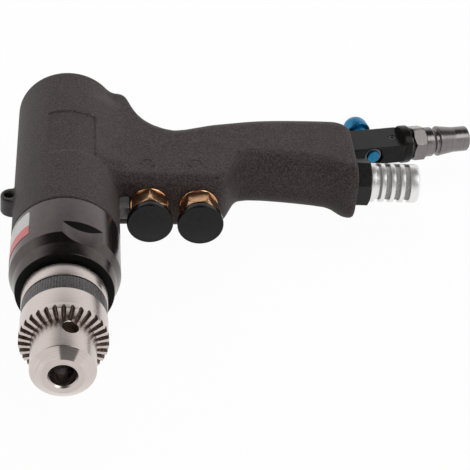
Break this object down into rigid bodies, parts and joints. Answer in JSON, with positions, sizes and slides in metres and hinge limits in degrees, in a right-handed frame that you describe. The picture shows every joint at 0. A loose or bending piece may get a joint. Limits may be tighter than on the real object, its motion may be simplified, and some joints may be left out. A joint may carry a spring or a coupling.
{
  "type": "pistol air drill",
  "caption": "Pistol-grip pneumatic drill with keyed chuck, planetary gear case, vane motor, forward and reverse push buttons, throttle regulator, air inlet nipple and slotted muffler.",
  "frame": {"origin": "centre of the chuck's front face, on the spindle line", "axes": "+Y rearward along the spindle, +X from the spindle along the handle to the air inlet, +Z toward the drill's left side, which faces up as it lies in the picture"},
  "size_m": [0.2297, 0.1972, 0.048],
  "materials": {
    "housing_paint": "fine textured matte paint",
    "case_black": "satin black anodising",
    "rubber_black": "matte",
    "bearing_steel": "ground",
    "dark_steel": "blackened",
    "gear_steel": "machined",
    "bushing_copper": "polished copper coloured",
    "spring_steel": "drawn wire",
    "inlet_black": "gloss",
    "nipple_dark": "blackened and burnished",
    "adapter_black": "satin",
    "muffler_aluminium": "bright turned",
    "felt_grey": "felted",
    "chuck_nickel": "satin nickel",
    "sleeve_nickel": "satin nickel",
    "jaw_steel": "hardened",
    "vane_fibre": "pressed fibre",
    "button_black": "satin",
    "stem_steel": "ground",
    "regulator_blue": "blue anodised"
  },
  "bodies": {
    "housing_body": {"housing": "housing_paint", "gear_case": "case_black", "dust_seal": "rubber_black", "spindle_bearing": "bearing_steel", "snap_ring": "dark_steel", "ring_gear": "gear_steel", "clamp_ring": "gear_steel", "front_end_plate": "gear_steel", "rotor_front_bearing": "bearing_steel", "motor_cylinder": "gear_steel", "rear_end_plate": "gear_steel", "rotor_rear_bearing": "bearing_steel", "wave_washer": "dark_steel", "alignment_pin": "bearing_steel", "forward_bushing": "bushing_copper", "reverse_bushing": "bushing_copper", "stem_seals": "rubber_black", "forward_spring": "spring_steel", "reverse_spring": "spring_steel", "inlet_block": "inlet_black", "inlet_seal": "rubber_black", "inlet_screen": "bearing_steel", "hose_nipple": "nipple_dark", "lock_screw": "dark_steel", "muffler_adapter": "adapter_black", "muffler": "muffler_aluminium", "silencer_felt": "felt_grey"},
    "spindle_body": {"spindle": "gear_steel", "planet_pins": "bearing_steel", "chuck_body": "chuck_nickel", "chuck_screw": "dark_steel"},
    "sleeve_body": {"chuck_sleeve": "sleeve_nickel", "chuck_nut": "dark_steel"},
    "jaw_a_body": {"chuck_jaw_a": "jaw_steel"},
    "jaw_b_body": {"chuck_jaw_b": "jaw_steel"},
    "jaw_c_body": {"chuck_jaw_c": "jaw_steel"},
    "planet_a_body": {"planet_gear_a": "gear_steel"},
    "planet_b_body": {"planet_gear_b": "gear_steel"},
    "planet_c_body": {"planet_gear_c": "gear_steel"},
    "rotor_body": {"rotor": "gear_steel", "rotor_vanes": "vane_fibre"},
    "forward_body": {"forward_button": "button_black", "forward_stem": "stem_steel"},
    "reverse_body": {"reverse_button": "button_black", "reverse_stem": "stem_steel"},
    "regulator_body": {"regulator_spool": "regulator_blue", "regulator_seals": "rubber_black", "regulator_clip": "dark_steel"}
  },
  "joints": [
    {"name": "spindle_spin", "type": "hinge", "parent": "housing_body", "child": "spindle_body", "pos_m": [0, 0, 0], "axis": [0, 1, 0], "continuous": true},
    {"name": "sleeve_turn", "type": "hinge", "parent": "spindle_body", "child": "sleeve_body", "pos_m": [0, 0, 0], "axis": [0, 1, 0], "range_deg": [0, 2110]},
    {"name": "jaw_a_slide", "type": "slide", "parent": "spindle_body", "child": "jaw_a_body", "axis": [-0.2764, -0.9563, -0.0952], "range_m": [0, 0.0147]},
    {"name": "jaw_b_slide", "type": "slide", "parent": "spindle_body", "child": "jaw_b_body", "axis": [0.0558, -0.9563, 0.287], "range_m": [0, 0.0147]},
    {"name": "jaw_c_slide", "type": "slide", "parent": "spindle_body", "child": "jaw_c_body", "axis": [0.2207, -0.9563, -0.1918], "range_m": [0, 0.0147]},
    {"name": "planet_a_spin", "type": "hinge", "parent": "spindle_body", "child": "planet_a_body", "pos_m": [0.01125, 0.075, 0], "axis": [0, 1, 0], "continuous": true},
    {"name": "planet_b_spin", "type": "hinge", "parent": "spindle_body", "child": "planet_b_body", "pos_m": [-0.00562, 0.075, -0.00974], "axis": [0, 1, 0], "continuous": true},
    {"name": "planet_c_spin", "type": "hinge", "parent": "spindle_body", "child": "planet_c_body", "pos_m": [-0.00562, 0.075, 0.00974], "axis": [0, 1, 0], "continuous": true},
    {"name": "rotor_spin", "type": "hinge", "parent": "housing_body", "child": "rotor_body", "pos_m": [0, 0.129, 0], "axis": [0, 1, 0], "continuous": true},
    {"name": "forward_press", "type": "slide", "parent": "housing_body", "child": "forward_body", "axis": [0, 1, 0], "range_m": [0, 0.0038], "stiffness_N_per_m": 1500, "springref_m": -0.004, "deforming": ["forward_spring"]},
    {"name": "reverse_press", "type": "slide", "parent": "housing_body", "child": "reverse_body", "axis": [0, 1, 0], "range_m": [0, 0.0038], "stiffness_N_per_m": 1500, "springref_m": -0.004, "deforming": ["reverse_spring"]},
    {"name": "regulator_turn", "type": "hinge", "parent": "housing_body", "child": "regulator_body", "pos_m": [0.14672, 0.17445, 0], "axis": [-0.2198, 0.9755, 0], "range_deg": [-90, 90]}
  ],
  "couplings": [
    {"joint": "jaw_a_slide", "follows": "sleeve_turn", "m_per_rad": 0.00039789},
    {"joint": "jaw_b_slide", "follows": "sleeve_turn", "m_per_rad": 0.00039789},
    {"joint": "jaw_c_slide", "follows": "sleeve_turn", "m_per_rad": 0.00039789},
    {"joint": "planet_a_spin", "follows": "spindle_spin", "ratio": -2.6667},
    {"joint": "planet_b_spin", "follows": "spindle_spin", "ratio": -2.6667},
    {"joint": "planet_c_spin", "follows": "spindle_spin", "ratio": -2.6667},
    {"joint": "rotor_spin", "follows": "spindle_spin", "ratio": 5}
  ]
}
